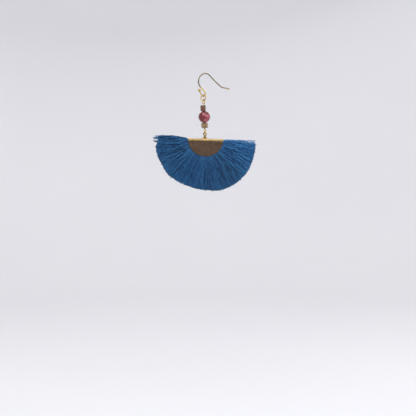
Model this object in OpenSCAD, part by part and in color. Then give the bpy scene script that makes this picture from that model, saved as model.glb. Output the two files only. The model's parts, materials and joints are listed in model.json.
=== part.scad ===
// Fan tassel drop earring: a ball-end ear hook, a beaded link and a half-round thread fan in a metal cap.
// Sizes in millimetres. +Z is up, +X is to the wearer's back in the side view, -Y faces the viewer.
// The origin is the middle of the wire at the top of the hook, where it passes through the ear lobe.

/* [Ear hook] */
// Thickness of the ear wire
hook_wire = 0.8; // [0.6:0.05:1]
// Radius of the arch in front of the lobe, to the middle of the wire
arch_r = 5.6; // [4.8:0.1:7]
// Degrees that the arch turns before it runs straight
arch_turn = 138; // [130:1:146]
// Straight stretch between the arch and the bottom loop
shank_len = 3.5; // [2:0.1:6]
// Radius of the bend from the straight stretch into the bottom loop
shank_r = 2.45; // [1.8:0.05:3.5]
// Radius of the open bottom loop that the drop hangs in
hang_r = 1.65; // [1.5:0.05:2.2]
// Degrees that the bottom loop turns up to its ball end
hang_turn = 153; // [135:1:165]
// Straight end of the wire between the bottom loop and the ball
ball_neck = 3.4; // [2:0.1:5]
// Diameter of the ball at the front end
ball_d = 2; // [1.6:0.1:2.6]
// Radius of the arch behind the lobe
back_r = 4; // [2.5:0.1:5]
// Degrees that the back arch turns down
back_turn = 44; // [36:1:56]
// Length of the back leg
leg_len = 11.5; // [8:0.1:16]
// Degrees that the back leg bows outwards
leg_bow = 9; // [5:1:16]
// Radius of the kick at the foot of the back leg
kick_r = 1.5; // [1:0.1:3]
// Degrees that the kick turns the tail out
kick_turn = 26; // [15:1:35]
// Straight tail behind the kick, which a stopper slides on
tail_len = 5.6; // [4:0.1:9]
// Degrees that the hook is turned about the vertical
hook_yaw = 27; // [20:1:35]

/* [Jump ring] */
// Outside diameter of the jump ring
ring_d = 4.6; // [4:0.1:5.5]
// Thickness of the jump ring's wire
ring_wire = 0.7; // [0.6:0.05:0.8]
// Opening left at the jump ring's butt joint
ring_split = 0.08; // [0.05:0.01:0.2]
// Degrees that the jump ring is turned about the vertical
ring_yaw = -33; // [-45:1:-30]
// Clear space between the hook and the jump ring
hook_play = 0.18; // [0.15:0.01:0.3]

/* [Beaded link] */
// Thickness of the eye pin's wire
pin_wire = 0.7; // [0.6:0.05:0.8]
// Outside diameter of the upper eye
top_eye_d = 3.6; // [2.8:0.1:4]
// Degrees that the upper eye is turned about the vertical
top_eye_yaw = 58; // [40:1:65]
// Outside diameter of the lower eye
low_eye_d = 4.2; // [3.2:0.1:4.8]
// Degrees that the lower eye is turned about the vertical
low_eye_yaw = 78; // [74:1:100]
// Bare pin that shows above the upper cube
pin_show = 0.7; // [0.5:0.1:2.5]
// Clear space between linked wires of the drop
link_play = 0.12; // [0.1:0.01:0.25]
// Degrees that the link leans at rest
link_lean = 2.5; // [0:0.5:5]

/* [Beads] */
// Diameter of the round bead
bead_d = 8; // [6:0.5:10]
// Clear space round the pin in the round bead's hole
bead_room = 0.25; // [0.1:0.05:0.5]
// Side of both cube beads
cube_w = 3.5; // [3.2:0.1:5]
// Height of the upper cube bead
top_cube_h = 3.8; // [3:0.1:5]
// Height of the lower cube bead
low_cube_h = 3.5; // [3:0.1:5]
// Clear space round the pin in the cube beads' holes
cube_room = 0.65; // [0.3:0.05:0.8]
// Width of the worn edges of the cube beads
cube_edge = 0.35; // [0.1:0.05:0.5]
// Degrees that the upper cube is turned about the pin
top_cube_yaw = 1; // [0:1:45]
// Degrees that the lower cube is turned about the pin
low_cube_yaw = -29; // [-45:1:45]
// How far the loose upper cube has slid to the left on the pin, as a share of its clear space
top_cube_slide = 0.85; // [0:0.05:0.85]
// Clear space between beads along the pin
bead_play = 0.1; // [0.05:0.01:0.2]

/* [Fan cap] */
// Radius of the half-round plates
cap_r = 12.1; // [10:0.1:16]
// Thickness of the rolled bar along the top
bar_d = 1.9; // [1.8:0.1:3]
// Thickness of the sheet
sheet = 0.3; // [0.2:0.05:0.4]
// Space between the plates for the threads
slot = 0.9; // [0.8:0.05:1.1]
// Outside diameter of the bail
bail_d = 2.7; // [2.7:0.1:3.6]
// Thickness of the bail's wire
bail_wire = 0.7; // [0.6:0.05:0.75]
// Height of the foot between the bar and the bail
foot_h = 2; // [1.4:0.1:3]
// Width of the foot on the bar
foot_w = 3.3; // [3:0.1:5]
// Width of the foot at the bail
foot_neck = 1.7; // [1.4:0.1:2.2]
// Thickness of the foot at its middle, from where its faces curve back
foot_t = 1.4; // [1:0.1:1.6]
// How far the bail is soldered from the middle of the bar
bail_offset = 0.6; // [0:0.1:1.5]
// Degrees that the fan tips because of it
fan_tilt = 1.6; // [0:0.1:4]

/* [Fringe] */
// Length from the top of the cap to the rim of the fringe
fringe_r = 34.2; // [26:0.2:44]
// Greatest thickness of the fringe
fringe_t = 3.8; // [3:0.1:6]
// Locks of thread in each of the two layers
locks = 25; // [17:1:31]
// Clear space between the sewn head and each plate
head_gap = 0.1; // [0.05:0.01:0.15]
// How far the threads puff up at the front end of the bar
first_lift = 1.2; // [0:0.1:2]
// How far the threads puff up at the back end of the bar
last_lift = 0.5; // [0:0.1:2]
// Pattern of the locks' small differences
lock_seed = 7; // [1:1:40]

/* [Hidden] */
$fn = 48;

// Walks along bent wire. A stretch is [radius, degrees or length, side]:
// side 1 turns left, -1 turns right and 0 is straight.
ACROSS = 0;
UP = 1;
HEADING = 2;
function stretch_end(at, part) =
    part[2] == 0
        ? [at[ACROSS] + part[1] * cos(at[HEADING]), at[UP] + part[1] * sin(at[HEADING]), at[HEADING]]
        : let (turned = at[HEADING] + part[2] * part[1], reach = part[2] * part[0])
            [at[ACROSS] + reach * (sin(turned) - sin(at[HEADING])),
             at[UP] - reach * (cos(turned) - cos(at[HEADING])),
             turned];
function along(path, start, count) =
    count == 0 ? start : stretch_end(along(path, start, count - 1), path[count - 1]);

sleeve_len = 0.2;
sleeve_more = 0.02;
// How far a cutting shape runs past what it cuts
past = 1;

// Both halves of the hook start at the top of the arch and head away from each other
front_start = [0, 0, 180];
back_start = [0, 0, 0];
shank_turn = arch_turn - 90;
front_path = [
    [arch_r, arch_turn, 1],
    [0, shank_len, 0],
    [shank_r, shank_turn, -1],
    [hang_r, hang_turn, -1],
    [0, ball_neck, 0]
];
leg_r = leg_len * 180 / (PI * leg_bow);
back_path = [
    [back_r, back_turn, -1],
    [leg_r, leg_bow, 1],
    [kick_r, kick_turn, 1],
    [0, tail_len, 0]
];
loop_start = along(front_path, front_start, 3);
ball_at = along(front_path, front_start, 5);
// Lowest point of the bottom loop, at the middle of the wire, where the drop hangs
hang_across = loop_start[ACROSS] - hang_r;
hang_up = loop_start[UP] - hang_r;

// Heights along the link, down from the hang point
ring_r = (ring_d - ring_wire) / 2;
// Place of the butt joint round the jump ring, and the degrees that it takes up
split_at = 130;
split_degrees = ring_split * 180 / (PI * ring_r);
ring_z = (hook_wire + ring_wire) / 2 + hook_play - ring_r;
top_eye_r = (top_eye_d - pin_wire) / 2;
top_eye_z = ring_z - ring_r + (ring_wire + pin_wire) / 2 + link_play - top_eye_r;
top_cube_z = top_eye_z - top_eye_d / 2 - pin_show - top_cube_h / 2;
cube_hole = pin_wire + 2 * cube_room;
bead_hole = pin_wire + 2 * bead_room;
// A drilled bead is a little shorter than its diameter
bead_half = sqrt(pow(bead_d / 2, 2) - pow(bead_hole / 2, 2));
bead_z = top_cube_z - top_cube_h / 2 - bead_play - bead_half;
low_cube_z = bead_z - bead_half - bead_play - low_cube_h / 2;
low_eye_r = (low_eye_d - pin_wire) / 2;
low_eye_z = low_cube_z - low_cube_h / 2 - bead_play - low_eye_d / 2;

// The fan hangs on the lowest point of the lower eye
fan_hang_z = low_eye_z - low_eye_r;
bail_r = (bail_d - bail_wire) / 2;
bail_z = (pin_wire + bail_wire) / 2 + link_play - bail_r;
// The foot reaches up to the middle of the bail's wire
fan_top_z = bail_z - bail_r - foot_h;
// The top of the bar is the middle of the fan's circle
bar_z = -bar_d / 2;
// Width of the worn edges of the plates and of the bar's ends
plate_edge = sheet / 3;
bar_edge = bar_d / 8;
// The foot flares between these two shares of its height
foot_low = 0.1;
foot_waist = 0.65;
// Radius of the foot's curved faces, which leave its edges a third as thick as its middle
foot_back = foot_t / 3;
foot_face_r = (pow(foot_w / 2, 2) + pow(foot_back, 2)) / (2 * foot_back);

// The fringe leaves the slot beyond the plates and spreads into a front and a back layer of locks
head_t = slot - 2 * head_gap;
root_r = cap_r + 3 * head_gap;
spread_r = root_r + fringe_t / 3;
head_r = cap_r / 2;
head_top = bar_d + head_gap;
// Least slope at which the head's edge still follows the bar
level_slope = 0.01;
first_angle = 179;
last_angle = 355.5;
steps = 8;
columns = locks * steps;
// Depth of the grooves between locks and of the notches between their tips, as shares
groove_share = 0.3;
notch_share = 0.025;
// Share by which one lock is longer or shorter than the next
uneven_share = 0.012;
// Degrees that the locks sway sideways, and how often they do round the fan
sway_most = 1.1;
sway_waves = 11;
sway_shift = 70;
// Columns at each end of the fan that puff up or sway less
end_span = 1.6 * steps;
small = rands(-1, 1, 2 * (locks + 2), lock_seed);

// The rim's reach round the fan: angle, share of fringe_r
RIM = [
    [176, 1.00],
    [200, 1.015],
    [212, 1.01],
    [224, 1.03],
    [246, 1.005],
    [272, 1.02],
    [290, 1.065],
    [316, 1.06],
    [334, 1.03],
    [346, 1.005],
    [356, 0.98]
];
// Sections along a lock: share of the way from the spread to its tip, share of its thickness,
// share of the lift at the front end of the bar, share of the lift at its back end
LOCK = [
    [0.00, 0.70, 0.22, 0.20],
    [0.18, 0.95, 0.85, 0.45],
    [0.60, 1.00, 0.92, 0.80],
    [0.90, 0.62, 0.25, 0.65],
    [1.00, 0.34, 0.00, 0.60]
];
rows = len(LOCK) + 2;

// A point on one layer of the fringe. Layer 0 is the front one, layer 1 stands half a lock further round.
function lock_at(layer, column) = column / steps + 0.5 * layer;
function crest(layer, column) = abs(sin(180 * lock_at(layer, column)));
function lock_size(layer, column) = small[floor(lock_at(layer, column)) + layer * (locks + 2)];
function lock_reach(layer, column, angle) =
    fringe_r * lookup(angle, RIM)
        * (1 + uneven_share * lock_size(layer, column))
        * (1 - notch_share * pow(1 - crest(layer, column), 2));
function section_r(layer, column, row, angle) =
    row == 0 ? min(root_r - head_gap, max(head_r, head_top / max(level_slope, -sin(angle))))
        : row == 1 ? root_r
        : spread_r + LOCK[row - 2][0] * (lock_reach(layer, column, angle) - spread_r);
function section_y(layer, column, row) =
    row < 2 ? head_t / 2
        : fringe_t / 2 * LOCK[row - 2][1] * (1 - groove_share * (1 - crest(layer, column)));
function fringe_point(layer, column, row) =
    let (
        angle = first_angle + (last_angle - first_angle) * column / columns,
        out = section_r(layer, column, row, angle),
        near_first = max(0, 1 - column / end_span),
        near_last = max(0, 1 - (columns - column) / end_span),
        sway = row < 2 ? 0
            : sway_most * sin(sway_waves * angle + sway_shift * layer)
                * (1 - near_first - near_last) * LOCK[row - 2][0],
        lift = row < 2 ? 0
            : first_lift * near_first * LOCK[row - 2][2] + last_lift * near_last * LOCK[row - 2][3]
    )
    [
        out * cos(angle + sway),
        (layer == 0 ? -1 : 1) * section_y(layer, column, row),
        out * sin(angle + sway) + lift
    ];
function point_no(layer, column, row) = (layer * (columns + 1) + column) * rows + row;
function two_triangles(a, b, c, d) = [[a, b, c], [a, c, d]];

module wire_bend(radius, turn, side, wire) {
    translate([0, side * radius, 0])
        rotate([0, 0, side > 0 ? -90 : 90 - turn])
            rotate_extrude(angle = turn)
                translate([radius, 0])
                    circle(d = wire, $fn = 24);
}

// Each stretch starts inside a short sleeve, a hair thicker than the wire, that makes it one with the last
module bent_wire(path, start, wire) {
    for (i = [0 : len(path) - 1]) {
        at = along(path, start, i);
        translate([at[ACROSS], at[UP], 0])
            rotate([0, 0, at[HEADING]]) {
                rotate([0, 90, 0])
                    cylinder(d = wire + sleeve_more, h = sleeve_len, center = true, $fn = 24);
                if (path[i][2] == 0)
                    rotate([0, 90, 0]) cylinder(d = wire, h = path[i][1], $fn = 24);
                else
                    wire_bend(path[i][0], path[i][1], path[i][2], wire);
            }
    }
}

// A round wire ring that stands upright, facing the viewer until it is turned
module wire_ring(radius, wire, open_degrees = 0) {
    rotate([90, 0, 0])
        rotate([0, 0, 90 + open_degrees / 2])
            rotate_extrude(angle = 360 - open_degrees)
                translate([radius, 0])
                    circle(d = wire, $fn = 24);
}

module in_link() {
    rotate([0, 0, hook_yaw]) translate([hang_across, 0, hang_up])
        rotate([0, 0, -hook_yaw]) rotate([0, -link_lean, 0]) children();
}

module in_fan() {
    in_link() translate([0, 0, fan_hang_z])
        rotate([0, link_lean + fan_tilt, 0]) children();
}

module ear_hook() {
    color("gold") rotate([0, 0, hook_yaw]) rotate([90, 0, 0]) {
        bent_wire(front_path, front_start, hook_wire);
        bent_wire(back_path, back_start, hook_wire);
        translate([ball_at[ACROSS], ball_at[UP], 0]) sphere(d = ball_d);
    }
}

module jump_ring() {
    color("gold") in_link() translate([0, 0, ring_z])
        rotate([0, 0, ring_yaw]) rotate([0, split_at, 0])
            wire_ring(ring_r, ring_wire, split_degrees);
}

module eye_pin() {
    color("goldenrod") in_link() {
        translate([0, 0, top_eye_z]) rotate([0, 0, top_eye_yaw]) wire_ring(top_eye_r, pin_wire);
        translate([0, 0, low_eye_z]) rotate([0, 0, low_eye_yaw]) wire_ring(low_eye_r, pin_wire);
        translate([0, 0, low_eye_z + low_eye_r])
            cylinder(d = pin_wire, h = top_eye_z - top_eye_r - low_eye_z - low_eye_r, $fn = 24);
    }
}

// A block with its twelve edges worn off
module worn_block(w, h, edge) {
    intersection() {
        cube([w, w, h], center = true);
        rotate([0, 0, 45]) cube([w * sqrt(2) - edge, w * sqrt(2) - edge, h], center = true);
        intersection_for(turn = [0, 90])
            rotate([0, 0, turn]) rotate([90, 0, 0])
                linear_extrude(height = w, center = true)
                    polygon([
                        [-w / 2 + edge, -h / 2], [w / 2 - edge, -h / 2],
                        [w / 2, -h / 2 + edge], [w / 2, h / 2 - edge],
                        [w / 2 - edge, h / 2], [-w / 2 + edge, h / 2],
                        [-w / 2, h / 2 - edge], [-w / 2, -h / 2 + edge]
                    ]);
    }
}

module cube_bead(h) {
    difference() {
        worn_block(cube_w, h, cube_edge);
        cylinder(d = cube_hole, h = h + 2 * past, center = true);
    }
}

module cube_bead_top() {
    color("rosybrown") in_link() translate([-top_cube_slide * cube_room, 0, top_cube_z])
        rotate([0, 0, top_cube_yaw]) cube_bead(top_cube_h);
}

module cube_bead_bottom() {
    color("tan") in_link() translate([0, 0, low_cube_z])
        rotate([0, 0, low_cube_yaw]) cube_bead(low_cube_h);
}

module round_bead() {
    color("indianred") in_link() translate([0, 0, bead_z])
        difference() {
            sphere(d = bead_d, $fn = 72);
            cylinder(d = bead_hole, h = bead_d + 2 * past, center = true, $fn = 24);
        }
}

// The half-round plate below the bar, with its rim worn thin on the outer face
module cap_plate() {
    intersection() {
        rotate([-90, 0, 0]) {
            cylinder(r = cap_r, h = sheet - plate_edge, $fn = 144);
            translate([0, 0, sheet - plate_edge])
                cylinder(r1 = cap_r, r2 = cap_r - plate_edge, h = plate_edge, $fn = 144);
        }
        translate([-cap_r - past, -past, -cap_r - past])
            cube([2 * (cap_r + past), sheet + 2 * past, cap_r + past + bar_z]);
    }
}

module cap_bar() {
    translate([0, 0, bar_z]) rotate([0, 90, 0]) {
        cylinder(d = bar_d, h = 2 * (cap_r - bar_edge), center = true);
        for (end = [0, 180])
            rotate([end, 0, 0]) translate([0, 0, cap_r - bar_edge])
                cylinder(d1 = bar_d, d2 = bar_d - 2 * bar_edge, h = bar_edge);
    }
}

// The flared foot, with a curved front and back
module bail_foot() {
    intersection() {
        rotate([90, 0, 0])
            linear_extrude(height = foot_t, center = true)
                polygon([
                    [-foot_w / 2, bar_z], [foot_w / 2, bar_z],
                    [foot_w / 2, foot_low * foot_h], [foot_neck / 2, foot_waist * foot_h],
                    [foot_neck / 2, foot_h + bail_wire / 2], [-foot_neck / 2, foot_h + bail_wire / 2],
                    [-foot_neck / 2, foot_waist * foot_h], [-foot_w / 2, foot_low * foot_h]
                ]);
        intersection_for(side = [-1, 1])
            translate([0, side * (foot_face_r - foot_t / 2), bar_z])
                cylinder(r = foot_face_r, h = foot_h + bail_wire - bar_z, $fn = 96);
    }
}

module fan_cap() {
    color("goldenrod") in_fan() {
        translate([0, 0, bail_z]) wire_ring(bail_r, bail_wire);
        translate([0, 0, fan_top_z]) {
            bail_foot();
            translate([bail_offset, 0, 0]) {
                cap_bar();
                for (side = [0, 180])
                    rotate([0, 0, side]) translate([0, slot / 2, 0]) cap_plate();
            }
        }
    }
}

// The sewn head between the plates and the locks that spread from it, as one closed skin
module thread_fan() {
    points = [
        for (layer = [0, 1], column = [0 : columns], row = [0 : rows - 1])
            fringe_point(layer, column, row)
    ];
    faces = [
        for (column = [0 : columns - 1], row = [0 : rows - 2])
            for (face = two_triangles(
                point_no(0, column, row), point_no(0, column + 1, row),
                point_no(0, column + 1, row + 1), point_no(0, column, row + 1)))
                face,
        for (column = [0 : columns - 1], row = [0 : rows - 2])
            for (face = two_triangles(
                point_no(1, column, row), point_no(1, column, row + 1),
                point_no(1, column + 1, row + 1), point_no(1, column + 1, row)))
                face,
        for (column = [0 : columns - 1])
            for (face = concat(
                two_triangles(
                    point_no(0, column, rows - 1), point_no(0, column + 1, rows - 1),
                    point_no(1, column + 1, rows - 1), point_no(1, column, rows - 1)),
                two_triangles(
                    point_no(0, column + 1, 0), point_no(0, column, 0),
                    point_no(1, column, 0), point_no(1, column + 1, 0))))
                face,
        for (row = [0 : rows - 2])
            for (face = concat(
                two_triangles(
                    point_no(0, 0, row), point_no(0, 0, row + 1),
                    point_no(1, 0, row + 1), point_no(1, 0, row)),
                two_triangles(
                    point_no(0, columns, row + 1), point_no(0, columns, row),
                    point_no(1, columns, row), point_no(1, columns, row + 1))))
                face
    ];
    polyhedron(points, faces, convexity = 6);
}

module fringe() {
    color("steelblue") in_fan() translate([bail_offset, 0, fan_top_z]) thread_fan();
}

ear_hook();
jump_ring();
eye_pin();
cube_bead_top();
round_bead();
cube_bead_bottom();
fan_cap();
fringe();
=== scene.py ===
# %% [markdown]
# # A fan tassel earring
# The earring hangs as it is worn: a gold ear hook, a link with three beads, and a half-round fan of blue
# thread in a folded metal cap. The solids come from the CAD part and stay where they are. This file gives
# them their finishes and puts real threads in the place of the fan's plain solid.

# %% Load the frame
import json
import math

import bmesh
import bpy
from mathutils import Matrix, Vector


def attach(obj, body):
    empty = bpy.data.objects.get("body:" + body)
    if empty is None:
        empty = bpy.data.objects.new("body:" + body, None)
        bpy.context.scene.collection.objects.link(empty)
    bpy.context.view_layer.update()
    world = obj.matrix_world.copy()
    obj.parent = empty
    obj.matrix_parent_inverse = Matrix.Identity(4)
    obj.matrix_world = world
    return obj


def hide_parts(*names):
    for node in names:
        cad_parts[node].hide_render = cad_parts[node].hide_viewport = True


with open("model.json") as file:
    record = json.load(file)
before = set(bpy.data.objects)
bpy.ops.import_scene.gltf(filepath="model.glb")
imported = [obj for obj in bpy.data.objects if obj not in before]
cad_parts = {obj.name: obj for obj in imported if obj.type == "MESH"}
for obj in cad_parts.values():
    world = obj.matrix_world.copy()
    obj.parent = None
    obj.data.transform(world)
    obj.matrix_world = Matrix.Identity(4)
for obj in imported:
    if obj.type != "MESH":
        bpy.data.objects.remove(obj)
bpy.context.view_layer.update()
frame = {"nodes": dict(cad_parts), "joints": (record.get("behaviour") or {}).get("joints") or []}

MM = 0.001

# %% [markdown]
# The camera comes first, because it decides how large each detail is drawn. The photograph looks level at
# the earring from about two thirds of a metre, through a short telephoto lens. At that distance one
# picture point is about 0.68 mm of the earring, so a thread is thinner than a point and a bead is twelve.

# %% The camera
# Its place in mm: sideways, back and down from the top of the ear hook
CAMERA_PLACE = (1.36, -666, -91.2)
LENS = 85
SENSOR = 36
PICTURE_POINTS = 416
camera_data = bpy.data.cameras.new("camera")
camera_data.lens = LENS
camera_data.sensor_width = SENSOR
camera = bpy.data.objects.new("camera", camera_data)
camera.location = Vector(CAMERA_PLACE) * MM
camera.rotation_euler = (math.radians(90), 0, 0)
bpy.context.scene.collection.objects.link(camera)
bpy.context.scene.camera = camera
print("one picture point in mm:", round(-CAMERA_PLACE[1] * SENSOR / LENS / PICTURE_POINTS, 3))

# %% [markdown]
# Every material is a small tree of nodes, and so is the tree that lays out the threads. One function adds
# a node, with its settings and what goes into its sockets: a plain value, or another node to link from.
# Sockets that share a name are given by number. On a Math node they are the numbers from 0 on. On a Map
# Range they are the value, its low and high end, and what these two become. On a Mix node 6 and 7 are the
# two colours, and output 2 is the mixed one. Another function turns the sRGB hex colours, as a maker would
# pick them from a chart, into linear light.

# %% Three helpers for node trees
def put(tree, kind, sockets=(), **settings):
    """Adds a node. Sockets are given by name or number, as a value, a node or a node's output."""
    node = tree.nodes.new(kind)
    for name, value in settings.items():
        setattr(node, name, value)
    for name, value in dict(sockets).items():
        if isinstance(value, bpy.types.Node):
            value = value.outputs[0]
        if isinstance(value, bpy.types.NodeSocket):
            tree.links.new(value, node.inputs[name])
        else:
            node.inputs[name].default_value = value
    return node


def linear(hex_colour):
    """An sRGB hex colour as linear red, green, blue and a full alpha."""
    shares = [int(hex_colour[i:i + 2], 16) / 255 for i in (1, 3, 5)]
    return [c / 12.92 if c <= 0.04045 else ((c + 0.055) / 1.055) ** 2.4 for c in shares] + [1.0]


def new_material(name):
    """An empty node material and its tree."""
    material = bpy.data.materials.new(name)
    material.use_nodes = True
    material.node_tree.nodes.clear()
    print("material", name)
    return material, material.node_tree


print("mid grey #808080 in linear light:", round(linear("#808080")[0], 3))

# %% [markdown]
# ## Gold-plated wire
# The hook, the jump ring and the eye pin are brass wire, drawn through a die, bent, tumbled bright and
# plated with pale gold. Drawing leaves faint lines and tumbling leaves tiny dents, so the gloss is high
# but never even. The eye reads that as a bright line that breaks up a little along the wire. One colour
# and one roughness would look like a chrome tube, so noise spreads the wear, the fingermarks and the
# dents. The arch and the back leg of the hook are painted dull and brown, as painted shade for the shade
# under the ear and the dark that they mirror, while the ball and the bottom loop stay bright.

# %% Material: gold-plated wire
# Noise scales count lumps per metre, so half a lump per millimetre makes each about 2 mm wide
PER_MM = 1 / MM
# The heights in mm between which the hook's bright plating turns into painted shade
PAINTED_SHADE_FROM = -10.5
PAINTED_SHADE_TO = -8.5


def gold_material(name, colour, worn_colour, roughness, dents, painted_shade_colour=None):
    """Bright plating with worn patches. A painted shade colour covers both on the upper part of the hook."""
    material, tree = new_material(name)
    place = put(tree, "ShaderNodeTexCoord").outputs["Object"]
    # Handling wears the plating in patches about 2 mm wide
    patches = put(tree, "ShaderNodeTexNoise", {"Vector": place, "Scale": 0.5 * PER_MM, "Detail": 3})
    worn = put(tree, "ShaderNodeMapRange", {0: patches, 1: 0.45, 2: 0.75})
    tone = put(tree, "ShaderNodeMix", {0: worn, 6: linear(colour), 7: linear(worn_colour)},
               data_type="RGBA").outputs[2]
    # Painted shade: above these heights the arch and back leg are painted a dull brown, for the shade under
    # the ear
    if painted_shade_colour:
        height = put(tree, "ShaderNodeSeparateXYZ", {0: place}).outputs["Z"]
        painted_shade = put(tree, "ShaderNodeMapRange", {0: height, 1: PAINTED_SHADE_FROM * MM, 2: PAINTED_SHADE_TO * MM},
                     interpolation_type="SMOOTHSTEP")
        tone = put(tree, "ShaderNodeMix", {0: painted_shade, 6: tone, 7: linear(painted_shade_colour)},
                   data_type="RGBA").outputs[2]
    # Fingermarks and fine scratches change the gloss at about a third of a millimetre
    marks = put(tree, "ShaderNodeTexNoise", {"Vector": place, "Scale": 3.0 * PER_MM, "Detail": 4})
    gloss = put(tree, "ShaderNodeMapRange",
                {0: marks, 1: 0.3, 2: 0.7, 3: roughness - 0.05, 4: roughness + 0.09})
    # Tumbling leaves dents about half a millimetre wide and a few thousandths deep
    hollows = put(tree, "ShaderNodeTexNoise", {"Vector": place, "Scale": 1.9 * PER_MM, "Detail": 2})
    bump = put(tree, "ShaderNodeBump", {"Height": hollows, "Strength": dents, "Distance": 0.02 * MM})
    gold = put(tree, "ShaderNodeBsdfPrincipled",
               {"Base Color": tone, "Roughness": gloss, "Metallic": 1.0, "Normal": bump})
    put(tree, "ShaderNodeOutputMaterial", {"Surface": gold})
    return material


def dress(node, material):
    """Gives a solid of the CAD part its one finish."""
    finishes = frame["nodes"][node].data.materials
    finishes.clear()
    finishes.append(material)
    print(node, "is finished in", material.name)


link_wire = gold_material("gold_plated_brass_wire", "#CDB173", "#B0925A", 0.15, 0.5)
# The hook's colours are darker than the link wire's: painted shade for the shade the hook hangs in under the
# ear
hook_wire_painted_shade = gold_material("gold_plated_hook_wire", "#BFA65C", "#A68A52", 0.12, 0.5, "#72634A")
dress("ear_hook", hook_wire_painted_shade)
dress("jump_ring", link_wire)
dress("eye_pin", link_wire)

# %% [markdown]
# ## The cap
# The cap is stamped from brass sheet, folded over the threads and pressed flat, with a rolled bar along
# the fold and a soldered bail. It is plated like the wire, so the same function makes its finish, with
# fainter dents, because a press leaves a smoother face than tumbling. The flat plates mirror whatever
# stands in front of them, so they look brown in a room that is dim behind the camera, and the round bar
# gathers a bright line of light.

# %% Material: gold-plated sheet
gold_sheet = gold_material("gold_plated_brass_sheet", "#BCA26F", "#A58A5C", 0.13, 0.25)
dress("fan_cap", gold_sheet)

# %% [markdown]
# ## The round bead
# An 8 mm ball of rose red agate, cut, drilled and polished. Light goes a few millimetres into it and comes
# out red, and cloudy bands inside make it lighter and darker. Clear glass with a cloudy core would be
# closest to the real stone but slow to render, so the surface itself scatters light below the skin and
# lets a share of it through. The polished skin gives the sharp highlight.

# %% Material: polished rose agate
# The spot in the endless cloud pattern that the bead is cut from, chosen for a dark red front
CUT_FROM = (51 * MM, 13 * MM, 4 * MM)
AGATE_STOPS = ((0.36, "#560C17"), (0.48, "#8E1F2D"), (0.62, "#B65F69"))
# Agate and jasper are both quartz
QUARTZ_IOR = 1.54


def paint(ramp, stops):
    """Puts hex colours on a colour ramp at the given places, in order, and returns the node."""
    elements = ramp.color_ramp.elements
    elements[0].position = stops[0][0]
    elements[1].position = stops[-1][0]
    for position, _ in stops[1:-1]:
        elements.new(position)
    for element, (_, colour) in zip(elements, stops):
        element.color = linear(colour)
    return ramp


agate, tree = new_material("polished_rose_agate")
place = put(tree, "ShaderNodeTexCoord").outputs["Object"]
cut = put(tree, "ShaderNodeMapping", {"Vector": place, "Location": CUT_FROM})
# Cloudy bands about 3 mm wide, and polishing marks about 0.4 mm wide
cloud = put(tree, "ShaderNodeTexNoise",
            {"Vector": cut, "Scale": 0.33 * PER_MM, "Detail": 4, "Distortion": 1.2})
tone = paint(put(tree, "ShaderNodeValToRGB", {"Fac": cloud}), AGATE_STOPS)
specks = put(tree, "ShaderNodeTexNoise", {"Vector": place, "Scale": 2.6 * PER_MM, "Detail": 3})
gloss = put(tree, "ShaderNodeMapRange", {0: specks, 1: 0.35, 2: 0.7, 3: 0.05, 4: 0.14})
bump = put(tree, "ShaderNodeBump", {"Height": specks, "Strength": 0.25, "Distance": 0.01 * MM})
stone = put(tree, "ShaderNodeBsdfPrincipled", {
    "Base Color": tone, "Roughness": gloss, "IOR": QUARTZ_IOR, "Normal": bump,
    "Transmission Weight": 0.35, "Coat Weight": 0.3, "Coat Roughness": 0.03,
    "Subsurface Weight": 0.5, "Subsurface Scale": 1.5 * MM, "Subsurface Radius": (1.0, 0.35, 0.35),
})
put(tree, "ShaderNodeOutputMaterial", {"Surface": stone})
dress("round_bead", agate)

# %% [markdown]
# ## The cube beads
# Two small cubes of jasper, sawn, drilled and tumbled until their edges wear round. The stone is clouded
# with browner and paler spots and has fine dark grains. A thin pale seam crosses the top cube like a vein
# in rock, and a thin dark line of painted shade runs down the bottom cube's front edge.
# Tumbling leaves it satin, not glossy, so its highlights are wide and soft.

# %% Material: tumbled jasper
# The line in mm, a pale vein on the top cube and painted shade on the bottom one: how far it wanders, and
# the distances from its middle where it is full and where it ends
VEIN_AND_SHADE_WANDER = 0.5
VEIN_AND_SHADE_FULL = 0.1
VEIN_AND_SHADE_END = 0.28


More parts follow.
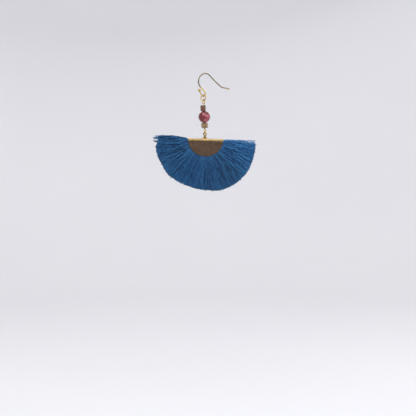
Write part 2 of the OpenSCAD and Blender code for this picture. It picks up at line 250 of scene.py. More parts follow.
def jasper_material(name, dark, middle, light, vein_and_shade_normal, vein_and_shade_place, vein_and_shade_colour):
    """Clouded stone with one wandering line across it, on the plane with this normal and distance in mm."""
    material, tree = new_material(name)
    place = put(tree, "ShaderNodeTexCoord").outputs["Object"]
    # Clouds about 1.5 mm wide, and grains of a tenth of a millimetre
    cloud = put(tree, "ShaderNodeTexNoise",
                {"Vector": place, "Scale": 0.65 * PER_MM, "Detail": 6, "Distortion": 0.8})
    tone = paint(put(tree, "ShaderNodeValToRGB", {"Fac": cloud}),
                 ((0.32, dark), (0.5, middle), (0.68, light)))
    grain = put(tree, "ShaderNodeTexNoise", {"Vector": place, "Scale": 9.0 * PER_MM, "Detail": 2})
    speck = put(tree, "ShaderNodeMapRange", {0: grain, 1: 0.58, 2: 0.7, 3: 0.0, 4: 0.45})
    colour = put(tree, "ShaderNodeMix", {0: speck, 6: tone, 7: linear(dark)}, data_type="RGBA").outputs[2]
    # How far each point is from the line, which bends about once a millimetre
    far = put(tree, "ShaderNodeVectorMath", {0: place, 1: vein_and_shade_normal},
              operation="DOT_PRODUCT").outputs["Value"]
    wander = put(tree, "ShaderNodeTexNoise", {"Vector": place, "Scale": 0.9 * PER_MM, "Detail": 3})
    off = put(tree, "ShaderNodeMath", {0: wander, 1: VEIN_AND_SHADE_WANDER * MM, 2: far}, operation="MULTIPLY_ADD")
    off = put(tree, "ShaderNodeMath", {0: off, 1: (vein_and_shade_place + VEIN_AND_SHADE_WANDER / 2) * MM},
              operation="SUBTRACT")
    off = put(tree, "ShaderNodeMath", {0: off}, operation="ABSOLUTE")
    # The line's strength: a pale vein on the top cube, painted shade down the bottom cube's front edge
    vein_and_shade = put(tree, "ShaderNodeMapRange", {0: off, 1: VEIN_AND_SHADE_FULL * MM, 2: VEIN_AND_SHADE_END * MM, 3: 0.85, 4: 0.0},
               interpolation_type="SMOOTHSTEP")
    colour = put(tree, "ShaderNodeMix", {0: vein_and_shade, 6: colour, 7: linear(vein_and_shade_colour)},
                 data_type="RGBA").outputs[2]
    gloss = put(tree, "ShaderNodeMapRange", {0: cloud, 1: 0.3, 2: 0.7, 3: 0.38, 4: 0.58})
    bump = put(tree, "ShaderNodeBump", {"Height": grain, "Strength": 0.4, "Distance": 0.02 * MM})
    stone = put(tree, "ShaderNodeBsdfPrincipled",
                {"Base Color": colour, "Roughness": gloss, "IOR": QUARTZ_IOR, "Normal": bump})
    put(tree, "ShaderNodeOutputMaterial", {"Surface": stone})
    return material


# The top cube's tones are redder than the bottom cube's, and darker partly as painted shade for the shade it
# hangs in under the ear
rose_jasper_painted_shade = jasper_material("tumbled_rose_jasper", "#3A2215", "#583825", "#735038",
                              (0.8, 0.3, 0.52), -13.6, "#8A6A52")
# Painted shade: the dark line #463C1E runs down the bottom cube's front edge, where the edge between its
# faces looks dark
tan_jasper_edge_shade = jasper_material("tumbled_tan_jasper", "#5D4A33", "#88704F", "#AE946B",
                             (0.961, 0.276, 0.0), -1.06, "#463C1E")

# %% [markdown]
# The CAD cubes have straight chamfers and flat faces. A bevel would round all edges alike, but tumbling
# wears corners most and leaves the faces a little uneven. So each cube is copied, its faces are merged,
# and it is remeshed finely, smoothed and dented by a cloud pattern. The modifiers are then made final, so
# that a plain mesh stays.

# %% The tumbled cubes
# In mm: how near two points count as one, the fine mesh's grid, and the depth of the dents
MERGE = 0.001
GRID = 0.09
DENT_DEPTH = 0.16
# How often the smoothing passes over the mesh. More passes wear the corners rounder
WEAR_PASSES = 7


def tumbled_bead(node, name, material, dent_width):
    """A copy of a cube bead's solid with worn edges and uneven faces, its dents so many mm wide."""
    mesh = frame["nodes"][node].data.copy()
    mesh.materials.clear()
    form = bmesh.new()
    form.from_mesh(mesh)
    bmesh.ops.remove_doubles(form, verts=form.verts, dist=MERGE * MM)
    form.to_mesh(mesh)
    form.free()
    bead = bpy.data.objects.new(name, mesh)
    bpy.context.scene.collection.objects.link(bead)
    remesh = bead.modifiers.new("fine", "REMESH")
    remesh.mode = "VOXEL"
    remesh.voxel_size = GRID * MM
    remesh.use_smooth_shade = True
    worn = bead.modifiers.new("worn", "SMOOTH")
    worn.factor = 0.5
    worn.iterations = WEAR_PASSES
    dented = bead.modifiers.new("dented", "DISPLACE")
    dented.texture = bpy.data.textures.new(name + "_dents", "CLOUDS")
    dented.texture.noise_scale = dent_width * MM
    dented.texture_coords = "LOCAL"
    dented.strength = DENT_DEPTH * MM
    dented.mid_level = 0.55
    result = bpy.data.meshes.new_from_object(bead.evaluated_get(bpy.context.evaluated_depsgraph_get()))
    bead.modifiers.clear()
    bead.data = result
    result.materials.clear()
    result.materials.append(material)
    result.shade_smooth()
    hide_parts(node)
    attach(bead, "link")
    print(name, len(result.polygons), "faces")


tumbled_bead("cube_bead_top", "tumbled_cube_top", rose_jasper_painted_shade, 1.8)
tumbled_bead("cube_bead_bottom", "tumbled_cube_bottom", tan_jasper_edge_shade, 2.0)

# %% [markdown]
# ## The fan of threads
# A fan tassel is made by folding many lengths of thread over a wire, pressing the fold into the cap and
# cutting the rim round. Thousands of threads leave the cap side by side, spread like a fan, part into
# locks and wave a little, because thread remembers the bobbin. A hair system could lay them, but here each
# thread follows one rule and has to end as a plain mesh, so Geometry Nodes do it. Real threads are about
# half as thick and many more. These are 0.46 mm, two thirds of a picture point, because finer ones would
# not show one by one. The tree works in the fan's own frame, in millimetres: X along the bar, -Y towards
# the viewer, the middle of the fan's circle at the top of the bar.

# %% Where the fan sits
# The fan hangs askew by so many degrees, and its middle is so far from the joint, in metres
FAN_TILT = 1.6
FAN_MIDDLE = Vector((0.6, 0, -3.18)) * MM
fan_joint = next(j for j in frame["joints"] if j["name"] == "fan_swing")
fan_place = (
    Matrix.Translation(Vector(fan_joint["pos_m"]))
    @ Matrix.Rotation(math.radians(FAN_TILT), 4, "Y")
    @ Matrix.Translation(FAN_MIDDLE)
)
print("middle of the fan, mm:", [round(v / MM, 2) for v in fan_place.translation])

# %% [markdown]
# A node tree can have inputs of its own, with a name and a first value each. They are the tree's controls:
# the same tree makes the front, core and back of the fan, and the loose threads too, from different ones.
# Angles go round from the right end of the bar as the viewer sees it, so 180 is its left end and 270 is
# straight down. Ragged is the share by which the shortest threads are cut short, and Clump, Sway and
# Crinkle make the waves further down stronger or weaker.

# %% The inputs of the thread tree
# Where the fan starts and ends, in degrees
FIRST_ANGLE = 179.0
LAST_ANGLE = 355.5
# In mm: the radius of the rim, the radius where the threads start in the cap, and half the fan's thickness
RIM_RADIUS = 34.2
ROOT_RADIUS = 10.8
HALF_THICKNESS = 1.9

fan_tree = bpy.data.node_groups.new("fan_of_threads", "GeometryNodeTree")
INPUTS = (
    ("Threads", "NodeSocketInt", 1200),
    ("Points", "NodeSocketInt", 18),
    ("Thread Thickness", "NodeSocketFloat", 0.46),
    ("From Angle", "NodeSocketFloat", FIRST_ANGLE),
    ("To Angle", "NodeSocketFloat", LAST_ANGLE),
    ("Depth From", "NodeSocketFloat", -1.0),
    ("Depth To", "NodeSocketFloat", 1.0),
    ("Ragged", "NodeSocketFloat", 0.04),
    ("Rim Radius", "NodeSocketFloat", RIM_RADIUS),
    ("Clump", "NodeSocketFloat", 1.0),
    ("Sway", "NodeSocketFloat", 1.0),
    ("Crinkle", "NodeSocketFloat", 1.0),
    ("Seed", "NodeSocketInt", 1),
    ("Material", "NodeSocketMaterial", None),
)
for name, kind, value in INPUTS:
    socket = fan_tree.interface.new_socket(name, in_out="INPUT", socket_type=kind)
    if value is not None:
        socket.default_value = value
fan_tree.interface.new_socket("Fan", in_out="OUTPUT", socket_type="NodeSocketGeometry")
print("inputs of the thread tree:", ", ".join(name for name, _, _ in INPUTS))

# %% [markdown]
# First the tree copies one short line as often as there are threads. Everything after that is a number
# worked out for each point: which thread it is on, how far along the thread it is, and so on.

# %% Thread tree: one line becomes many
# A layer's threads are numbered from this times its seed on, so that no two layers are alike
LAYER_NUMBERS = 10000
given = put(fan_tree, "NodeGroupInput").outputs
line = put(fan_tree, "GeometryNodeCurvePrimitiveLine", {"End": (1.0, 0.0, 0.0)})
pointed = put(fan_tree, "GeometryNodeResampleCurve", {"Curve": line, "Count": given["Points"]})
many = put(fan_tree, "GeometryNodeDuplicateElements",
           {"Geometry": pointed, "Amount": given["Threads"]}, domain="SPLINE")
along = put(fan_tree, "GeometryNodeSplineParameter").outputs["Factor"]
thread = put(fan_tree, "GeometryNodeCurveOfPoint").outputs["Curve Index"]
layer_start = put(fan_tree, "ShaderNodeMath", {0: given["Seed"], 1: LAYER_NUMBERS}, operation="MULTIPLY")
thread_id = put(fan_tree, "ShaderNodeMath", {0: thread, 1: layer_start}, operation="ADD")
print("nodes so far:", len(fan_tree.nodes))

# %% [markdown]
# Each thread draws a few random numbers. They are looked up by the thread's number, so they are the same
# all along the thread, and the same each time the file is run. The first of them moves the thread a little
# from its even place round the fan, because threads in a row are never spaced like the teeth of a comb.

# %% Thread tree: what each thread draws, and its place round the fan
# What is drawn, and the lowest and highest number it may be
DRAWS = (("place", 0.0, 1.0), ("cut", 0.0, 1.0), ("crinkle", 0.0, 500.0), ("depth", 0.0, 1.0),
         ("tint", 0.0, 1.0))
drawn = {}
for seed, (what, low, high) in enumerate(DRAWS, start=1):
    lot = put(fan_tree, "FunctionNodeRandomValue", {2: low, 3: high, "ID": thread_id, "Seed": seed},
              data_type="FLOAT")
    drawn[what] = lot.outputs[1]
jittered = put(fan_tree, "ShaderNodeMath", {0: thread, 1: drawn["place"]}, operation="ADD")
share = put(fan_tree, "ShaderNodeMath", {0: jittered, 1: given["Threads"]}, operation="DIVIDE")
angle = put(fan_tree, "ShaderNodeMapRange", {0: share, 3: given["From Angle"], 4: given["To Angle"]})
round_fan = put(fan_tree, "ShaderNodeMapRange", {0: angle, 1: FIRST_ANGLE, 2: LAST_ANGLE})
print("nodes so far:", len(fan_tree.nodes))

# %% [markdown]
# A thread's length is the rim's radius at its place, which isn't an exact circle because scissors cut it,
# less a little at random, because no two threads are cut quite alike. The points stand closer near the
# cap, where the thread bends most.

# %% Thread tree: how far out each point is
# The rim's outline: share of the way round the fan, share of the rim's radius
RIM = (
    (0.0, 0.95), (0.035, 0.955), (0.062, 1.0), (0.12, 1.015), (0.187, 1.01), (0.255, 1.03), (0.38, 1.005),
    (0.527, 1.02), (0.63, 1.065), (0.776, 1.06), (0.878, 1.03), (0.946, 1.005), (0.98, 1.0), (1.0, 0.97),
)
# A drawn curve goes from 0 to 1, so it stands for the radii from here up by this much
RIM_LOW = 0.9
RIM_SPAN = 0.2
# The longest threads pass the outline a little
LONGEST = 1.004
# The steps from point to point are by this share shorter at the cap and longer at the rim
EASE = 0.4


def draw(node, points):
    """Draws the node's curve through the given points, from 0 to 1 both ways, and returns the node."""
    curve = node.mapping.curves[0]
    curve.points[0].location = points[0]
    curve.points[1].location = points[-1]
    for point in points[1:-1]:
        curve.points.new(*point)
    node.mapping.update()
    return node


rim_curve = draw(put(fan_tree, "ShaderNodeFloatCurve", {"Value": round_fan}),
                 [(at, (radii - RIM_LOW) / RIM_SPAN) for at, radii in RIM])
rim_share = put(fan_tree, "ShaderNodeMapRange", {0: rim_curve, 3: RIM_LOW, 4: RIM_LOW + RIM_SPAN})
shortest = put(fan_tree, "ShaderNodeMath", {0: 1.0, 1: given["Ragged"]}, operation="SUBTRACT")
cut = put(fan_tree, "ShaderNodeMapRange", {0: drawn["cut"], 3: LONGEST, 4: shortest})
reach = put(fan_tree, "ShaderNodeMath", {0: rim_share, 1: cut}, operation="MULTIPLY")
tip_radius = put(fan_tree, "ShaderNodeMath", {0: reach, 1: given["Rim Radius"]}, operation="MULTIPLY")
slope = put(fan_tree, "ShaderNodeMath", {0: along, 1: EASE, 2: 1 - EASE}, operation="MULTIPLY_ADD")
eased = put(fan_tree, "ShaderNodeMath", {0: slope, 1: along}, operation="MULTIPLY")
radius = put(fan_tree, "ShaderNodeMapRange", {0: eased, 3: ROOT_RADIUS, 4: tip_radius})
print("nodes so far:", len(fan_tree.nodes))

# %% [markdown]
# At the cap all threads come out below the bar, so the outermost ones bend up round its ends. Near the cap
# the tree holds each thread's angle below the bar, and just beyond the cap it lets go.

# %% Thread tree: round the bar's ends
# The bar covers so many degrees at each end, and a thread comes free of it between these radii in mm
BAR_CLEAR = 9.5
FREE_FROM = 11.7
FREE_TO = 12.9
free = put(fan_tree, "ShaderNodeMapRange", {0: radius, 1: FREE_FROM, 2: FREE_TO},
           interpolation_type="SMOOTHSTEP")
below_bar = put(fan_tree, "ShaderNodeClamp",
                {"Value": angle, "Min": 180 + BAR_CLEAR, "Max": 360 - BAR_CLEAR})
bent = put(fan_tree, "ShaderNodeMix", {0: free, 2: below_bar, 3: angle})
bent = put(fan_tree, "ShaderNodeMath", {0: bent}, operation="RADIANS")
print("nodes so far:", len(fan_tree.nodes))

# %% [markdown]
# Beyond the cap three waves move a thread sideways together with its neighbours: a slow one nearly a
# centimetre wide, one a lock wide that draws threads together and leaves dark gaps between the locks, and
# a narrow one that splits the locks. Each wave is a noise that is read at the thread's place on the rim.
# In the middle of the fan the threads hang straight down and part least, so the two waves that make locks
# are weaker there.

# %% Thread tree: the waves that neighbours share
# The length of the rim in mm, from one end of the fan to the other
RIM_LENGTH = 107.0
# Width and length of each wave in mm, how far it moves a thread, and which input scales it
WAVES = (
    (9.0, 14.0, 2.4, "Sway"),
    (2.6, 9.0, 2.6, "Clump"),
    (1.3, 4.0, 1.5, "Clump"),
)


def off_middle(tree, round_fan):
    """How far a share of the way round the fan is from the fan's middle: 0 there, 0.5 at both ends."""
    centred = put(tree, "ShaderNodeMath", {0: round_fan, 1: 0.5}, operation="SUBTRACT")
    return put(tree, "ShaderNodeMath", {0: centred}, operation="ABSOLUTE")


rim_place = put(fan_tree, "ShaderNodeMath", {0: round_fan, 1: RIM_LENGTH}, operation="MULTIPLY")
from_middle = off_middle(fan_tree, round_fan)
parted = put(fan_tree, "ShaderNodeMapRange", {0: from_middle, 1: 0.14, 2: 0.26, 3: 0.6, 4: 1.0})
clump = put(fan_tree, "ShaderNodeMath", {0: parted, 1: given["Clump"]}, operation="MULTIPLY")
wave_scale = {"Sway": given["Sway"], "Clump": clump}
sideways = 0.0
for width, length, far, scaled_by in WAVES:
    across = put(fan_tree, "ShaderNodeMath", {0: rim_place, 1: width}, operation="DIVIDE")
    outward = put(fan_tree, "ShaderNodeMath", {0: radius, 1: length}, operation="DIVIDE")
    spot = put(fan_tree, "ShaderNodeCombineXYZ", {"X": across, "Y": outward, "Z": layer_start})
    wave = put(fan_tree, "ShaderNodeTexNoise", {"Vector": spot, "Scale": 1.0, "Detail": 1.0})
    centred = put(fan_tree, "ShaderNodeMath", {0: wave, 1: 0.5}, operation="SUBTRACT")
    scaled = put(fan_tree, "ShaderNodeMath", {0: centred, 1: wave_scale[scaled_by]}, operation="MULTIPLY")
    sideways = put(fan_tree, "ShaderNodeMath", {0: scaled, 1: far, 2: sideways}, operation="MULTIPLY_ADD")
print("nodes so far:", len(fan_tree.nodes))

# %% [markdown]
# At the two ends of the fan the threads lie along the bar's line, so the shared waves are a quarter as
# strong there. Each thread also has a crinkle of its own, sideways and in depth, which keeps neighbours
# from lying like printed lines. The colour of a noise gives three numbers at once, and two of them do.

# %% Thread tree: calm ends and each thread's own crinkle
# The two ends are so many degrees wide
END_DEGREES = 11.3
CALM = 0.25
# The crinkle's length and how far it moves a thread sideways and in depth, in mm
CRINKLE_LENGTH = 4.0
CRINKLE_SIDEWAYS = 2.0
CRINKLE_DEEP = 1.4
# All the waves are nothing up to the first of these shares of the thread's length, and full from the second
STILL_TO = 0.12
FULL_FROM = 0.55
near_first = put(fan_tree, "ShaderNodeMapRange",
                 {0: angle, 1: FIRST_ANGLE, 2: FIRST_ANGLE + END_DEGREES, 3: 1.0, 4: 0.0})
near_last = put(fan_tree, "ShaderNodeMapRange",
                {0: angle, 1: LAST_ANGLE - END_DEGREES, 2: LAST_ANGLE, 3: 0.0, 4: 1.0})
ends = put(fan_tree, "ShaderNodeMath", {0: near_first, 1: near_last}, operation="ADD")
inside = put(fan_tree, "ShaderNodeMapRange", {0: ends, 3: 1.0, 4: CALM})
sideways = put(fan_tree, "ShaderNodeMath", {0: sideways, 1: inside}, operation="MULTIPLY")
own_along = put(fan_tree, "ShaderNodeMath", {0: radius, 1: CRINKLE_LENGTH}, operation="DIVIDE")
own_spot = put(fan_tree, "ShaderNodeCombineXYZ", {"X": drawn["crinkle"], "Y": own_along})
own_wave = put(fan_tree, "ShaderNodeTexNoise", {"Vector": own_spot, "Scale": 1.0, "Detail": 1.0})
own_parts = put(fan_tree, "ShaderNodeSeparateXYZ", {0: own_wave.outputs["Color"]}).outputs
own_centred = put(fan_tree, "ShaderNodeMath", {0: own_parts[0], 1: 0.5}, operation="SUBTRACT")
own_centred = put(fan_tree, "ShaderNodeMath", {0: own_centred, 1: given["Crinkle"]}, operation="MULTIPLY")
own_deep = put(fan_tree, "ShaderNodeMath", {0: own_parts[1], 1: 0.5}, operation="SUBTRACT")
sideways = put(fan_tree, "ShaderNodeMath", {0: own_centred, 1: CRINKLE_SIDEWAYS, 2: sideways},
               operation="MULTIPLY_ADD")
grown = put(fan_tree, "ShaderNodeMapRange", {0: along, 1: STILL_TO, 2: FULL_FROM},
            interpolation_type="SMOOTHSTEP")
sideways = put(fan_tree, "ShaderNodeMath", {0: sideways, 1: grown}, operation="MULTIPLY")
turned = put(fan_tree, "ShaderNodeMath", {0: sideways, 1: radius}, operation="DIVIDE")
turned = put(fan_tree, "ShaderNodeMath", {0: turned, 1: bent}, operation="ADD")
print("nodes so far:", len(fan_tree.nodes))

# %% [markdown]
# The fan is thin where the plates press it, swells just beyond them and thins out again at the rim. Each
# thread has its own depth in that thickness. A relief of narrow ridges and grooves runs outwards, because
# locks lie over each other: in a groove the threads sink back towards the fan's middle plane, little in
# the middle of the fan and wholly at its sides.

# %% Thread tree: depth
# Share of the way along the thread, share of the fan's thickness
THICKNESS = ((0.0, 0.14), (0.1, 0.16), (0.19, 0.62), (0.33, 0.9), (0.73, 1.0), (0.94, 0.64), (1.0, 0.4))
# Width and length of the ridges and grooves, in mm
RELIEF_WIDTH = 1.2
RELIEF_LENGTH = 11.0
thickness = draw(put(fan_tree, "ShaderNodeFloatCurve", {"Value": along}), THICKNESS)
depth = put(fan_tree, "ShaderNodeMapRange",
            {0: drawn["depth"], 3: given["Depth From"], 4: given["Depth To"]})
inner = put(fan_tree, "ShaderNodeMath", {0: thickness, 1: depth}, operation="MULTIPLY")
across = put(fan_tree, "ShaderNodeMath", {0: rim_place, 1: RELIEF_WIDTH}, operation="DIVIDE")
outward = put(fan_tree, "ShaderNodeMath", {0: radius, 1: RELIEF_LENGTH}, operation="DIVIDE")
spot = put(fan_tree, "ShaderNodeCombineXYZ", {"X": across, "Y": outward, "Z": layer_start})
relief = put(fan_tree, "ShaderNodeTexNoise", {"Vector": spot, "Scale": 1.0, "Detail": 1.0})
in_groove = put(fan_tree, "ShaderNodeMapRange", {0: from_middle, 1: 0.12, 2: 0.34, 3: 0.8, 4: 0.0})
swell = put(fan_tree, "ShaderNodeMapRange", {0: relief, 1: 0.32, 2: 0.64, 3: in_groove, 4: 1.1})
outer = put(fan_tree, "ShaderNodeMath", {0: inner, 1: swell}, operation="MULTIPLY")
depth_mm = put(fan_tree, "ShaderNodeMath", {0: outer, 1: HALF_THICKNESS}, operation="MULTIPLY")
weave = put(fan_tree, "ShaderNodeMath", {0: own_deep, 1: grown}, operation="MULTIPLY")
depth_mm = put(fan_tree, "ShaderNodeMath", {0: weave, 1: CRINKLE_DEEP, 2: depth_mm},
               operation="MULTIPLY_ADD")
print("nodes so far:", len(fan_tree.nodes))

# %% [markdown]
# At the two ends of the bar nothing lies over the threads, so they puff up and sink back again towards
# their tips. The end with the frayed wisps puffs up most.

# %% Thread tree: lift
# How far each end lifts, in mm, and how much of that at each share of the way along the thread
FIRST_LIFT = 1.2
FIRST_PUFF = (
    (0.0, 0.0), (0.1, 0.0), (0.19, 0.0), (0.38, 0.22), (0.55, 0.55), (0.73, 0.72), (0.94, 0.4), (1.0, 0.2),
)
LAST_LIFT = 0.5
LAST_PUFF = ((0.0, 0.0), (0.1, 0.0), (0.19, 0.2), (0.38, 0.45), (0.73, 0.8), (0.94, 0.65), (1.0, 0.6))
lift = 0.0
for near, puff, height in ((near_first, FIRST_PUFF, FIRST_LIFT), (near_last, LAST_PUFF, LAST_LIFT)):
    puffed = draw(put(fan_tree, "ShaderNodeFloatCurve", {"Value": along}), puff)
    raised = put(fan_tree, "ShaderNodeMath", {0: puffed, 1: height}, operation="MULTIPLY")
    lift = put(fan_tree, "ShaderNodeMath", {0: near, 1: raised, 2: lift}, operation="MULTIPLY_ADD")
print("nodes so far:", len(fan_tree.nodes))

# %% [markdown]
# Radius and angle become a place. Each point also keeps three numbers for the material, as named
# attributes: the thread's tint, how far out it is in mm, and how far round the fan.

# %% Thread tree: each point's place and what it keeps
cosine = put(fan_tree, "ShaderNodeMath", {0: turned}, operation="COSINE")
sine = put(fan_tree, "ShaderNodeMath", {0: turned}, operation="SINE")
x = put(fan_tree, "ShaderNodeMath", {0: cosine, 1: radius}, operation="MULTIPLY")
z = put(fan_tree, "ShaderNodeMath", {0: sine, 1: radius, 2: lift}, operation="MULTIPLY_ADD")
place = put(fan_tree, "ShaderNodeCombineXYZ", {"X": x, "Y": depth_mm, "Z": z})
for name, value in (("tint", drawn["tint"]), ("reach_mm", radius), ("round_fan", round_fan)):
    many = put(fan_tree, "GeometryNodeStoreNamedAttribute", {"Geometry": many, "Name": name, "Value": value},
               data_type="FLOAT", domain="POINT")
laid = put(fan_tree, "GeometryNodeSetPosition", {"Geometry": many, "Position": place})
print("nodes so far:", len(fan_tree.nodes))

# %% [markdown]
# The lines get their thickness from a three-sided profile, which is enough for a thread of half a
# millimetre with smooth shading and keeps thousands of them light. The profile's corners carry the cosine
# and sine of their place round the thread, which the material needs for the twist. Realize Instances and
# Set Material come last, because the export keeps nothing that is still an instance.

# %% Thread tree: thickness and result
PROFILE_SIDES = 3
# The thread is pressed at the cap and frayed thin at the tip: share of its length, share of its thickness
TAPER = ((0.0, 0.55), (0.2, 0.9), (0.8, 1.0), (1.0, 0.7))
tapered = draw(put(fan_tree, "ShaderNodeFloatCurve", {"Value": along}), TAPER)
narrowed = put(fan_tree, "GeometryNodeSetCurveRadius", {"Curve": laid, "Radius": tapered})
thread_radius = put(fan_tree, "ShaderNodeMath", {0: given["Thread Thickness"], 1: 0.5}, operation="MULTIPLY")
profile = put(fan_tree, "GeometryNodeCurvePrimitiveCircle",
              {"Resolution": PROFILE_SIDES, "Radius": thread_radius})
corner_number = put(fan_tree, "GeometryNodeInputIndex")
corner = put(fan_tree, "ShaderNodeMath", {0: corner_number, 1: 2 * math.pi / PROFILE_SIDES},
             operation="MULTIPLY")
for name, wave in (("round_a", "COSINE"), ("round_b", "SINE")):
    value = put(fan_tree, "ShaderNodeMath", {0: corner}, operation=wave)
    profile = put(fan_tree, "GeometryNodeStoreNamedAttribute",
                  {"Geometry": profile, "Name": name, "Value": value}, data_type="FLOAT", domain="POINT")
skin = put(fan_tree, "GeometryNodeCurveToMesh",
           {"Curve": narrowed, "Profile Curve": profile, "Fill Caps": True})
smooth = put(fan_tree, "GeometryNodeSetShadeSmooth", {"Geometry": skin, "Shade Smooth": True})
metres = put(fan_tree, "GeometryNodeTransform", {"Geometry": smooth, "Scale": (MM, MM, MM)})
plain = put(fan_tree, "GeometryNodeRealizeInstances", {"Geometry": metres})
coloured = put(fan_tree, "GeometryNodeSetMaterial", {"Geometry": plain, "Material": given["Material"]})
put(fan_tree, "NodeGroupOutput", {0: coloured})
print("nodes in the thread tree:", len(fan_tree.nodes))

# %% [markdown]
# ## Dyed cotton thread
# Mercerised cotton: twisted from fine plies, dyed a deep denim blue, with a soft sheen along its length.
# Each thread took the dye a little differently, and threads fade a little towards the cut ends. A picture
# of yarn would need its own unwrapping on every thread, so the numbers that the tree left at each point
# steer the colour instead.

# %% Material: dyed cotton thread
COTTON_STOPS = ((0.0, "#13355A"), (0.5, "#205383"), (1.0, "#3873A1"))
cotton, tree = new_material("dyed_blue_cotton_thread")
tint = put(tree, "ShaderNodeAttribute", attribute_name="tint").outputs["Fac"]
reach_mm = put(tree, "ShaderNodeAttribute", attribute_name="reach_mm").outputs["Fac"]
round_fan = put(tree, "ShaderNodeAttribute", attribute_name="round_fan").outputs["Fac"]
place = put(tree, "ShaderNodeTexCoord").outputs["Object"]
# Painted light and shade: the threads' tints spread wider at the fan's two sides, where single threads part
# and catch the light one by one
uneven = put(tree, "ShaderNodeMapRange",
             {0: off_middle(tree, round_fan), 1: 0.15, 2: 0.25, 3: 0.8, 4: 1.8})
tint = put(tree, "ShaderNodeMath", {0: tint, 1: 0.5}, operation="SUBTRACT")
tint = put(tree, "ShaderNodeMath", {0: tint, 1: uneven, 2: 0.5}, operation="MULTIPLY_ADD")
tone = paint(put(tree, "ShaderNodeValToRGB", {"Fac": tint}), COTTON_STOPS)
# Locks of thread that took up more dye, a little under 2 mm wide
lots = put(tree, "ShaderNodeTexNoise", {"Vector": place, "Scale": 0.6 * PER_MM, "Detail": 2})
darker = put(tree, "ShaderNodeMapRange", {0: lots, 1: 0.35, 2: 0.65, 3: 0.35, 4: 0.0})
dyed = put(tree, "ShaderNodeMix", {0: darker, 6: tone, 7: linear("#0C284D")}, data_type="RGBA").outputs[2]
# Painted light: the threads at the back end of the bar are painted brighter, for the light that this end of
# the fan catches
paler = put(tree, "ShaderNodeMapRange", {0: round_fan, 1: 0.72, 2: 0.9, 3: 1.0, 4: 1.55},
            interpolation_type="SMOOTHSTEP")
dyed = put(tree, "ShaderNodeVectorMath", {0: dyed, "Scale": paler}, operation="SCALE")
# The last few millimetres before the rim are a quarter faded
faded = put(tree, "ShaderNodeMapRange", {0: reach_mm, 1: 28.0, 2: 36.0, 3: 0.0, 4: 0.25})
colour = put(tree, "ShaderNodeMix", {0: faded, 6: dyed, 7: linear("#366C99")}, data_type="RGBA").outputs[2]

# %% [markdown]
# The twist shows as slanting ribs: one rib goes once round the thread for each 0.8 mm along it. Its height
# is the cosine of the place along the thread less the place round it, and the two pairs of cosines and
# sines below make that up. It stays a bump, because it is less than a tenth of a picture point deep.

# %% Material: the cotton's twist and sheen
TWIST_PITCH = 0.8
phase = put(tree, "ShaderNodeMath", {0: reach_mm, 1: 2 * math.pi / TWIST_PITCH}, operation="MULTIPLY")
rib = 0.0
for wave, corner in (("COSINE", "round_a"), ("SINE", "round_b")):
    along_thread = put(tree, "ShaderNodeMath", {0: phase}, operation=wave)
    round_thread = put(tree, "ShaderNodeAttribute", attribute_name=corner).outputs["Fac"]
    rib = put(tree, "ShaderNodeMath", {0: along_thread, 1: round_thread, 2: rib}, operation="MULTIPLY_ADD")
bump = put(tree, "ShaderNodeBump", {"Height": rib, "Strength": 0.5, "Distance": 0.05 * MM})
fibre = put(tree, "ShaderNodeBsdfPrincipled", {
    "Base Color": colour, "Roughness": 0.62, "IOR": 1.45, "Specular IOR Level": 0.25, "Normal": bump,
    "Sheen Weight": 0.12, "Sheen Roughness": 0.4, "Sheen Tint": linear("#9FC0E0"),
})
put(tree, "ShaderNodeOutputMaterial", {"Surface": fibre})
print("one rib each", TWIST_PITCH, "mm")

# %% [markdown]
# The fan is laid in three layers, each with its own threads, so that what shows between two front threads
# is another thread and never the inside of the fan. The tree runs once for each, as a modifier, and its
# result is kept as a plain mesh that takes the place of the CAD part's solid and swings with the cap.

# %% The fan's three layers
def thread_layer(name, inputs):
    """Runs the thread tree once and keeps its result as a plain mesh in the fan's place."""
    piece = bpy.data.objects.new(name, bpy.data.meshes.new(name))
    bpy.context.scene.collection.objects.link(piece)
    maker = piece.modifiers.new("threads", "NODES")
    maker.node_group = fan_tree
    ids = {item.name: item.identifier for item in fan_tree.interface.items_tree if item.in_out == "INPUT"}
    for key, value in {**inputs, "Material": cotton}.items():
        maker[ids[key]] = value
    result = bpy.data.meshes.new_from_object(piece.evaluated_get(bpy.context.evaluated_depsgraph_get()))
    piece.modifiers.clear()
    piece.data = result
    result.transform(fan_place)
    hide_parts("fringe")
    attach(piece, "fan")
    result.calc_loop_triangles()
    print(name, len(result.loop_triangles), "triangles")


thread_layer("fringe_front", {"Threads": 1180, "Depth From": -1.0, "Depth To": -0.35, "Seed": 1})
thread_layer("fringe_core", {"Threads": 1180, "Depth From": -0.5, "Depth To": 0.5, "Seed": 2})
thread_layer("fringe_back", {"Threads": 1180, "Depth From": 0.35, "Depth To": 1.0, "Seed": 3})

# %% [markdown]
# No cut rim is perfect. At one end of the bar the cut ends have frayed into five longer wisps, at the
# other end three threads have sprung loose, and single threads stand out all round. They come from the
# same tree, with a larger rim, more sway and more points, because a thread that stands alone shows its
# bends.

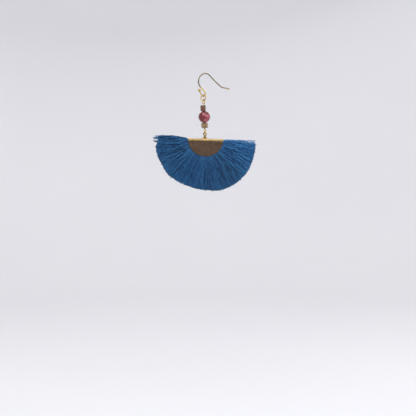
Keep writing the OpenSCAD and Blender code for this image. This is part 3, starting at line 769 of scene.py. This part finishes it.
# %% The loose threads
# Each wisp's first angle in degrees and its reach in mm, and how many degrees it is wide
WISPS = ((179.0, 36.6), (180.7, 37.6), (182.3, 36.9), (183.9, 37.5), (185.4, 36.4))
WISP_WIDTH = 0.3
WISP_SEED = 40
for number, (first, rim_radius) in enumerate(WISPS):
    thread_layer(f"fringe_wisp_{number}", {
        "Threads": 16, "From Angle": first, "To Angle": first + WISP_WIDTH, "Rim Radius": rim_radius,
        "Depth From": -0.5, "Depth To": 0.2, "Sway": 1.8, "Crinkle": 0.4, "Seed": WISP_SEED + number})
thread_layer("fringe_sprung", {
    "Threads": 3, "From Angle": 356.0, "To Angle": 358.2, "Rim Radius": 35.2,
    "Depth From": -0.6, "Depth To": 0.2, "Sway": 3.0, "Seed": 5})
thread_layer("fringe_flyaways", {
    "Threads": 110, "Points": 32, "Depth From": -1.05, "Depth To": 1.05, "Rim Radius": 34.8,
    "Ragged": 0.06, "Clump": 1.6, "Sway": 2.2, "Seed": 6})

# %% [markdown]
# ## The studio
# A pale seamless bowl is floor and backdrop in one, so that the earring looks the same from every side. A
# flat floor with one wall would be simpler, but seen from behind the earring would hang before nothing.
# The bowl is a flat disc that bends up into a round wall, made ring by ring. It is covered in matte paper,
# whose pulp is a little uneven.

# %% The bowl
# In metres: the floor's height, the edge of its flat part, the wall's radius and top, and the bend's radius
FLOOR_Z = -0.22
FLAT_R = 0.75
WALL_R = 1.7
WALL_TOP = 1.3
BEND = WALL_R - FLAT_R
SIDES = 96
bowl_points = [(FLAT_R * i / 4, FLOOR_Z) for i in range(1, 5)]
for degrees in range(5, 91, 5):
    a = math.radians(degrees)
    bowl_points.append((FLAT_R + BEND * math.sin(a), FLOOR_Z + BEND * (1 - math.cos(a))))
bowl_points.append((WALL_R, WALL_TOP))
turns = [2 * math.pi * i / SIDES for i in range(SIDES)]
form = bmesh.new()
rings = [[form.verts.new((r * math.cos(t), r * math.sin(t), z)) for t in turns] for r, z in bowl_points]
middle = form.verts.new((0, 0, FLOOR_Z))
for i in range(SIDES):
    form.faces.new((middle, rings[0][i], rings[0][(i + 1) % SIDES]))
for low, high in zip(rings, rings[1:]):
    for i in range(SIDES):
        form.faces.new((low[i], high[i], high[(i + 1) % SIDES], low[(i + 1) % SIDES]))
bowl_mesh = bpy.data.meshes.new("studio_bowl")
form.to_mesh(bowl_mesh)
form.free()
bowl_mesh.shade_smooth()
bowl = bpy.data.objects.new("studio_bowl", bowl_mesh)
bpy.context.scene.collection.objects.link(bowl)
print("bowl:", len(bowl_mesh.polygons), "faces")

# %% Material: matte paper
paper, tree = new_material("pale_matte_paper")
place = put(tree, "ShaderNodeTexCoord").outputs["Object"]
pulp = put(tree, "ShaderNodeTexNoise", {"Vector": place, "Scale": 3, "Detail": 2})
tone = put(tree, "ShaderNodeMix", {0: pulp, 6: linear("#E4E4E8"), 7: linear("#E8E8EB")},
           data_type="RGBA").outputs[2]
surface = put(tree, "ShaderNodeBsdfPrincipled",
              {"Base Color": tone, "Roughness": 0.9, "Specular IOR Level": 0.1})
put(tree, "ShaderNodeOutputMaterial", {"Surface": surface})
bowl_mesh.materials.append(paper)

# %% [markdown]
# The space behind the camera is dim, as in a real studio, and the flat plates of the cap mirror that. A
# dark wall there would also darken the floor, so a felt card that only reflections see stands for it. It
# is wide and low, with a narrow tab that rises to the spot that the plates mirror.

# %% The dim side of the room
# In metres: the card's distance, and its corners sideways and up
CARD_Y = -0.78
CARD_CORNERS = ((-0.9, -0.7), (0.9, -0.7), (0.9, -0.03), (0.14, -0.03),
                (0.14, 0.14), (-0.14, 0.14), (-0.14, -0.03), (-0.9, -0.03))
card_mesh = bpy.data.meshes.new("dim_card")
card_mesh.from_pydata([(x, CARD_Y, z) for x, z in CARD_CORNERS], [], [tuple(range(len(CARD_CORNERS)))])
card = bpy.data.objects.new("dim_card", card_mesh)
bpy.context.scene.collection.objects.link(card)
card.visible_camera = card.visible_diffuse = card.visible_shadow = False
felt, tree = new_material("dark_grey_felt")
place = put(tree, "ShaderNodeTexCoord").outputs["Object"]
fuzz = put(tree, "ShaderNodeTexNoise", {"Vector": place, "Scale": 40})
tone = put(tree, "ShaderNodeMix", {0: fuzz, 6: linear("#716C8C"), 7: linear("#807A9B")},
           data_type="RGBA").outputs[2]
surface = put(tree, "ShaderNodeBsdfPrincipled", {"Base Color": tone, "Roughness": 1.0})
put(tree, "ShaderNodeOutputMaterial", {"Surface": surface})
card_mesh.materials.append(felt)
print("card:", len(CARD_CORNERS), "corners")

# %% [markdown]
# A wide softbox hangs above the camera and a strong one overhead, which draws the bright line on the bar
# and shades the grooves between the locks. One at the right opens that side's shadows, and a weak one
# behind lights the back. A little light from all round keeps the shadows from going black.

# %% The lights
AIR = "#F5F5F6"
AIR_STRENGTH = 0.39
# Name, place and size in metres, watts
LIGHTS = (
    ("softbox_front", (0.1, -1.25, 0.85), (2.4, 1.2), 7.4),
    ("softbox_right", (1.1, -0.55, 0.25), (0.8, 1.0), 8.0),
    ("softbox_top", (0.1, -0.55, 1.15), (1.6, 1.1), 11.2),
    ("softbox_back", (-0.2, 1.25, 0.8), (1.4, 0.6), 2.8),
)
# They all point at the middle of the earring, in metres
AIM = Vector((0, 0, -0.045))
world = bpy.data.worlds.new("studio_air")
bpy.context.scene.world = world
world.use_nodes = True
world.node_tree.nodes["Background"].inputs["Color"].default_value = linear(AIR)
world.node_tree.nodes["Background"].inputs["Strength"].default_value = AIR_STRENGTH
for name, spot, size, watts in LIGHTS:
    data = bpy.data.lights.new(name, "AREA")
    data.shape = "RECTANGLE"
    data.size, data.size_y = size
    data.energy = watts
    light = bpy.data.objects.new(name, data)
    light.location = spot
    light.rotation_euler = (AIM - Vector(spot)).to_track_quat("-Z", "Y").to_euler()
    bpy.context.scene.collection.objects.link(light)
bpy.context.scene.view_settings.view_transform = "Standard"
print("lights:", ", ".join(name for name, *_ in LIGHTS))
